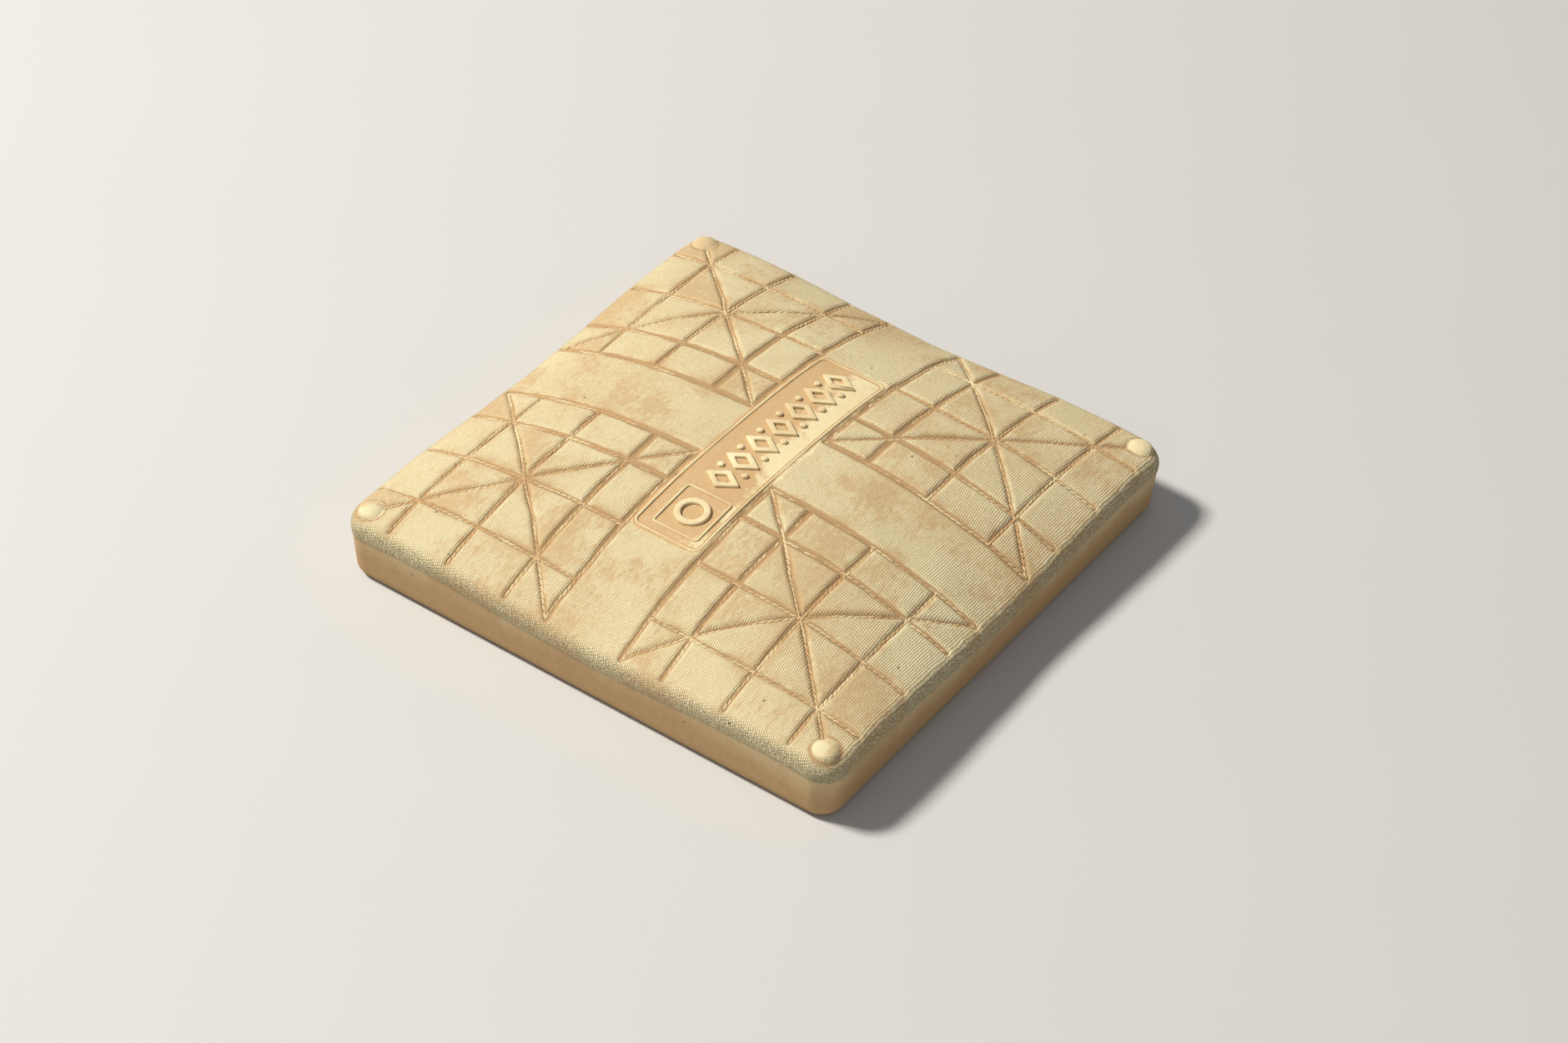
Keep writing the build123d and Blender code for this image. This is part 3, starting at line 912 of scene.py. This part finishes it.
class BASE_OT_stitches(bpy.types.Operator):
    """Lay the moulded stitches along every seam"""

    bl_idname = "base.make_stitches"
    bl_label = "Moulded stitches"

    def execute(self, context):
        cover, stitch = settings("base_cover"), settings("base_stitches")
        bm = bmesh.new()
        seed = 0
        for sx in (1, -1):
            for sy in (1, -1):
                for start, end, near, _far, _dust in quilt_lines(cover.seam_half):
                    ends = (sx * start[0], sy * start[1]), (sx * end[0], sy * end[1])
                    seam = bmesh.new()
                    seed += self.sew(seam, cover, stitch, *ends, near, seed)
                    join(bm, seam)
        piece = finish_mesh(bm, "moulded_stitches")
        rubber = raised_rubber(settings("base_colours"), "stitch_rubber", 0.9)
        place(piece, "base", rubber)
        return {"FINISHED"}

    def sew(self, bm, cover, stitch, start, end, half_wide, seed):
        """One seam's stitches, from start to end. Gives back how many places it has."""
        run = Vector(end) - Vector(start)
        step = run.normalized() * MM
        number_of = max(1, round(run.length / stitch.pitch))
        for k in range(number_of):
            share = (k + 0.5) / number_of
            x, y = start[0] + run.x * share, start[1] + run.y * share
            dx, dy = drift(cover, x, y)
            x, y = x - float(dx), y - float(dy)
            here = Vector((x, y, seam_point(cover, x, y)))
            ahead = Vector((x + step.x, y + step.y, seam_point(cover, x + step.x, y + step.y)))
            forward = (ahead - here).normalized()
            middle = 1 - max(abs(x), abs(y)) / cover.seam_half
            jitter = float(scatter(seed + k)) % 1.0
            # Dust buries the stitches of the wide seams towards the middle.
            buried = middle * (half_wide / MM - 0.9) + 0.5 * jitter + 0.3 * waves(x, y, 0.03, 9.0)
            if buried > LOST_UNDER_DUST:
                continue
            sunk = STITCH_SUNK + BURIED_SUNK * max(0.0, buried)
            side = Vector((0, 0, 1)).cross(forward).normalized()
            up = forward.cross(side)
            aside = side * STITCH_ASIDE * half_wide * waves(x, y, 0.05, seed % 17)
            axes = Matrix((forward, side, up)).transposed().to_4x4()
            slant = Matrix.Rotation(stitch.slant * (0.6 + 0.8 * jitter), 4, "Z")
            size = Matrix.Diagonal((stitch.long / 2, stitch.wide / 2, stitch.tall / 2, 1))
            matrix = Matrix.Translation(here + aside - up * sunk) @ axes @ slant @ size
            bmesh.ops.create_uvsphere(bm, u_segments=8, v_segments=5, radius=1.0, matrix=matrix)
        return number_of


LOZENGE_SOFTEN, LOZENGE_ROUNDING, RING_SOFTEN = 0.7 * MM, 1.1 * MM, 0.8 * MM


class BASE_OT_panel(bpy.types.Operator):
    """Make the panel's raised border, its inner frame and a plain ornament with no lettering"""

    bl_idname = "base.make_panel"
    bl_label = "Panel border and ornament"

    def execute(self, context):
        panel = settings("base_panel")
        colours = settings("base_colours")
        border = bmesh.new()
        outer = ((-panel.half_long, panel.half_long), (-panel.half_wide, panel.half_wide))
        self.frame_line(border, *outer, panel.corner, panel.line_wide, panel.line_tall)
        inner = ((panel.inner_near, panel.inner_far), (panel.inner_right, panel.inner_left))
        self.frame_line(border, *inner, panel.corner / 2, panel.line_wide, panel.line_tall * 1.2)
        piece = finish_mesh(border, "panel_border")
        place(piece, "base", raised_rubber(colours, "border_rubber", 0.3))

        figures = bmesh.new()
        spacing = (panel.row_far - panel.row_near) / (panel.lozenge_count - 1)
        stroke = panel.figure_stroke
        for k in range(panel.lozenge_count):
            x = panel.row_near + spacing * k
            self.lozenge(figures, (x, 0.0), spacing * 0.42, panel.figure_half, stroke)
            if k:
                for y in (-panel.figure_half * 0.72, panel.figure_half * 0.72):
                    self.ring(figures, (x - spacing / 2, y), stroke * 0.62, 0)
        ring_at = ((panel.inner_near + panel.inner_far) / 2, (panel.inner_right + panel.inner_left) / 2)
        self.ring(figures, ring_at, panel.figure_half * 0.9, stroke * 1.2)
        piece = finish_mesh(figures, "panel_ornament")
        place(piece, "base", raised_rubber(colours, "ornament_rubber", 0.28))
        return {"FINISHED"}

    def frame_line(self, bm, span_x, span_y, corner, wide, tall):
        """A raised line with rounded shoulders round a rectangle with rounded corners."""
        part = bmesh.new()
        made = bmesh.ops.create_circle(part, cap_ends=True, radius=math.sqrt(2), segments=4)["verts"]
        bmesh.ops.rotate(part, verts=made, matrix=Matrix.Rotation(math.pi / 4, 3, "Z"))
        half = Matrix.Diagonal(((span_x[1] - span_x[0]) / 2, (span_y[1] - span_y[0]) / 2, 1, 1))
        middle = Matrix.Translation((sum(span_x) / 2, sum(span_y) / 2, 0))
        bmesh.ops.transform(part, matrix=middle @ half, verts=made)
        round_off(part, made, corner, 6, affect="VERTICES")
        sides = [edge for edge in part.edges if edge.calc_length() > 2 * corner]
        bmesh.ops.subdivide_edges(part, edges=sides, cuts=24)
        self.raise_figure(bm, part, wide, tall, wide * 0.3)

    def lozenge(self, bm, middle, half_long, half_wide, stroke):
        """A raised lozenge with rounded points, hollow where it has a stroke."""
        part = bmesh.new()
        made = bmesh.ops.create_circle(part, cap_ends=True, radius=1.0, segments=4)["verts"]
        scale = Matrix.Diagonal((half_long, half_wide, 1, 1))
        bmesh.ops.transform(part, matrix=Matrix.Translation((*middle, 0)) @ scale, verts=made)
        tall = settings("base_panel").figure_tall
        self.raise_figure(bm, part, stroke, tall, LOZENGE_SOFTEN, LOZENGE_ROUNDING)

    def ring(self, bm, middle, radius, stroke):
        """A raised ring, or a round boss where it has no stroke."""
        part = bmesh.new()
        circle = bmesh.ops.create_circle(part, cap_ends=True, radius=radius, segments=40)["verts"]
        bmesh.ops.translate(part, vec=(*middle, 0), verts=circle)
        self.raise_figure(bm, part, stroke, settings("base_panel").figure_tall, RING_SOFTEN)

    def raise_figure(self, bm, part, stroke, tall, soften, rounding=0):
        """Turns a flat face into a raised, closed figure that follows the panel: a stroke of
        that width round its outline, or the whole face where the stroke is 0. `rounding` rounds
        its corners seen from above."""
        if stroke:
            middle = part.faces[:]
            bmesh.ops.inset_region(
                part, faces=middle, thickness=stroke, use_even_offset=True, use_boundary=True
            )
            bmesh.ops.delete(part, geom=middle, context="FACES_ONLY")
        made = bmesh.ops.extrude_face_region(part, geom=part.faces[:], use_keep_orig=True)["geom"]
        for vert in part.verts:
            vert.co.z = -SUNK_FOOT
        bmesh.ops.translate(part, vec=(0, 0, tall + SUNK_FOOT), verts=new_verts(made))
        bmesh.ops.recalc_face_normals(part, faces=part.faces)
        if rounding:
            upright = [edge for edge in part.edges if edge.verts[0].co.z * edge.verts[1].co.z < 0]
            round_off(part, upright, rounding, 4)
        rims = [edge for edge in part.edges if self.is_top_rim(edge)]
        round_off(part, rims, soften, 3, clamp_overlap=True)
        cover = settings("base_cover")
        for vert in part.verts:
            vert.co.z += seam_point(cover, vert.co.x, vert.co.y) + cover.pillow - PANEL_SUNK
        join(bm, part)

    def is_top_rim(self, edge):
        """True on the figure's top, where an upright face meets a level one."""
        upright = [abs(face.normal.z) < 0.5 for face in edge.link_faces]
        on_top = all(vert.co.z > 0 for vert in edge.verts)
        return on_top and len(upright) == 2 and upright[0] != upright[1]


class BASE_OT_core(bpy.types.Operator):
    """Finish the foam core and the plywood board"""

    bl_idname = "base.finish_core"
    bl_label = "Foam and board"

    def execute(self, context):
        colours = settings("base_colours")
        dress(["foam_core"], foam_material(colours))
        dress(["backing_board"], plywood_material(colours))
        return {"FINISHED"}


WELD_BEAD, WELD_PITCH, WELD_OUT = 2.6 * MM, 2.9 * MM, 0.2 * MM


class BASE_OT_metalwork(bpy.types.Operator):
    """Finish the strips, fasteners, plates and post, and lay the weld round the post"""

    bl_idname = "base.finish_metalwork"
    bl_label = "Strips, fasteners and post"

    def execute(self, context):
        colours = settings("base_colours")
        strips = [f"clamp_strip_{side}" for side in ("front", "back", "left", "right")]
        fasteners = ["clamp_screws", "flange_bolts", "flange_washers", "nut_washers", "flange_nuts"]
        dress(strips, metal_material("strip_zinc", colours.zinc, 900.0, 0.25, colours.rust, 0.34))
        dress(fasteners, metal_material("fastener_zinc", colours.zinc, 1500.0, 0.15, colours.rust, 0.30))
        steel = metal_material("post_galvanised", colours.galvanised, 240.0, 0.30, colours.rust, 0.36)
        dress(["load_plate", "stanchion_flange", "stanchion_tube"], steel)
        dress(["stanchion_cap"], cap_material(colours))
        self.weld(steel)
        return {"FINISHED"}

    def weld(self, steel):
        """A bead of overlapping weld ripples in the corner between post and flange."""
        bm = bmesh.new()
        half = POST_HIGH.x
        ripples = round(2 * half / WELD_PITCH)
        size = Matrix.Diagonal((WELD_BEAD * 0.95, WELD_BEAD, WELD_BEAD, 1))
        for side in range(4):
            turn = Matrix.Rotation(side * math.pi / 2, 4, "Z")
            for k in range(ripples):
                along = -half + (k + 0.5) * 2 * half / ripples
                at = Matrix.Translation((along, half + WELD_OUT, FLANGE_LOW.z - WELD_OUT))
                matrix = turn @ at @ size
                bmesh.ops.create_uvsphere(bm, u_segments=8, v_segments=6, radius=1.0, matrix=matrix)
        place(finish_mesh(bm, "post_weld"), "base", steel)


class BASE_OT_anchor(bpy.types.Operator):
    """Finish the rusty ground anchor"""

    bl_idname = "base.finish_anchor"
    bl_label = "Ground anchor"

    def execute(self, context):
        colours = settings("base_colours")
        steel = metal_material("anchor_steel", colours.galvanised, 420.0, 0.95, colours.rust, 0.45)
        dress(["anchor_sleeve", "anchor_rod_upper", "anchor_rod_lower"], steel)
        return {"FINISHED"}


OPENING_GAP, OPENING_DEPTH = 1.5 * MM, 30 * MM  # the floor's opening over the anchor
# Lights: name, place, size and tint. Both look at the base.
KEY_LIGHT = ("key_light", (-1.35, 2.95, 4.20), 0.9, (1.0, 0.965, 0.90))
FILL_LIGHT = ("fill_light", (-2.2, -1.6, 1.5), 2.2, (1.0, 0.98, 0.95))


class BASE_OT_stage(bpy.types.Operator):
    """Set the floor, the studio light and the camera"""

    bl_idname = "base.set_stage"
    bl_label = "Stage"

    def execute(self, context):
        stage = settings("base_stage")
        self.floor(stage)
        self.lights(context, stage)
        self.camera(context, stage)
        context.scene.view_settings.view_transform = "Standard"
        return {"FINISHED"}

    def floor(self, stage):
        """A pale floor with a square opening over the anchor's mouth."""
        bm = bmesh.new()
        bmesh.ops.create_grid(bm, x_segments=1, y_segments=1, size=stage.floor_half)
        inward = stage.floor_half - SLEEVE_HIGH.x - OPENING_GAP
        bmesh.ops.inset_region(
            bm, faces=bm.faces[:], thickness=inward, use_even_offset=True, use_boundary=True
        )
        mouth = min(bm.faces, key=lambda f: f.calc_area())
        rim = mouth.edges[:]
        bmesh.ops.delete(bm, geom=[mouth], context="FACES_ONLY")
        for vert in new_verts(bmesh.ops.extrude_edge_only(bm, edges=rim)["geom"]):
            vert.co.z = -OPENING_DEPTH
        piece = finish_mesh(bm, "studio_floor", smooth=False)
        piece.data.materials.append(floor_material(stage))

    def lights(self, context, stage):
        """One broad key from the back left of the view, a weak fill and a pale surround, which
        is lightest at the horizon."""
        world = bpy.data.worlds.new("surround")
        world.use_nodes = True
        tree = world.node_tree
        background = tree.nodes["Background"]
        background.inputs["Color"].default_value = (*stage.sky_colour, 1)
        direction = tree.nodes.new("ShaderNodeSeparateXYZ")
        fade = tree.nodes.new("ShaderNodeMapRange")
        fade.inputs["From Max"].default_value = stage.horizon_height
        fade.inputs["To Min"].default_value = stage.horizon_strength
        fade.inputs["To Max"].default_value = stage.sky_strength
        coordinates = tree.nodes.new("ShaderNodeTexCoord")
        tree.links.new(coordinates.outputs["Generated"], direction.inputs[0])
        tree.links.new(direction.outputs[2], fade.inputs["Value"])
        tree.links.new(fade.outputs[0], background.inputs["Strength"])
        context.scene.world = world
        self.area(context, *KEY_LIGHT, stage.key_power)
        self.area(context, *FILL_LIGHT, stage.fill_power)

    def area(self, context, name, at, size, tint, power):
        """A square soft light that looks at the base."""
        light = bpy.data.lights.new(name, "AREA")
        light.shape, light.size, light.energy, light.color = "SQUARE", size, power, tint
        lamp = bpy.data.objects.new(name, light)
        lamp.location = at
        lamp.rotation_euler = (-Vector(at)).to_track_quat("-Z", "Y").to_euler()
        context.scene.collection.objects.link(lamp)

    def camera(self, context, stage):
        """The camera, looking at a point on the crown's level."""
        camera = bpy.data.cameras.new("camera")
        camera.lens, camera.sensor_width = stage.lens, 36.0
        camera.clip_start, camera.clip_end = 0.05, 60.0
        holder = bpy.data.objects.new("camera", camera)
        turn, lift, roll = stage.azimuth, stage.elevation, stage.roll
        back = Vector((math.sin(turn) * math.cos(lift), -math.cos(turn) * math.cos(lift), math.sin(lift)))
        right = Vector((0, 0, 1)).cross(back).normalized()
        up = back.cross(right)
        rolled_right = right * math.cos(roll) + up * math.sin(roll)
        rolled_up = up * math.cos(roll) - right * math.sin(roll)
        target = Vector(stage.look_at) + Vector((0, 0, HEIGHT))
        axes = Matrix((rolled_right, rolled_up, back)).transposed().to_4x4()
        holder.matrix_world = Matrix.Translation(target + back * stage.distance) @ axes
        context.scene.collection.objects.link(holder)
        context.scene.camera = holder


OPERATORS = (
    BASE_OT_stage,
    BASE_OT_cover,
    BASE_OT_stitches,
    BASE_OT_panel,
    BASE_OT_core,
    BASE_OT_metalwork,
    BASE_OT_anchor,
)


class BASE_PT_sidebar(bpy.types.Panel):
    """Lists the base's operators in the sidebar"""

    bl_idname = "BASE_PT_sidebar"
    bl_label = "Baseball base"
    bl_space_type = "VIEW_3D"
    bl_region_type = "UI"
    bl_category = "Base"

    def draw(self, context):
        column = self.layout.column(align=True)
        for operator in OPERATORS:
            column.operator(operator.bl_idname)
        for name, group in GROUPS.items():
            box = self.layout.box()
            box.label(text=group.__doc__)
            for key in group.__annotations__:
                box.prop(getattr(context.scene, name), key)


CLASSES = (*GROUPS.values(), *OPERATORS, BASE_PT_sidebar)


def register():
    """Registers the classes and hangs the property groups on the scene."""
    for each in CLASSES:
        bpy.utils.register_class(each)
    for name, group in GROUPS.items():
        setattr(bpy.types.Scene, name, bpy.props.PointerProperty(type=group))


def unregister():
    """Takes everything away again."""
    for name in GROUPS:
        delattr(bpy.types.Scene, name)
    for each in reversed(CLASSES):
        bpy.utils.unregister_class(each)


def main():
    """Makes the whole base."""
    register()
    for operator in OPERATORS:
        group, name = operator.bl_idname.split(".")
        getattr(getattr(bpy.ops, group), name)()


if __name__ == "__main__":
    main()
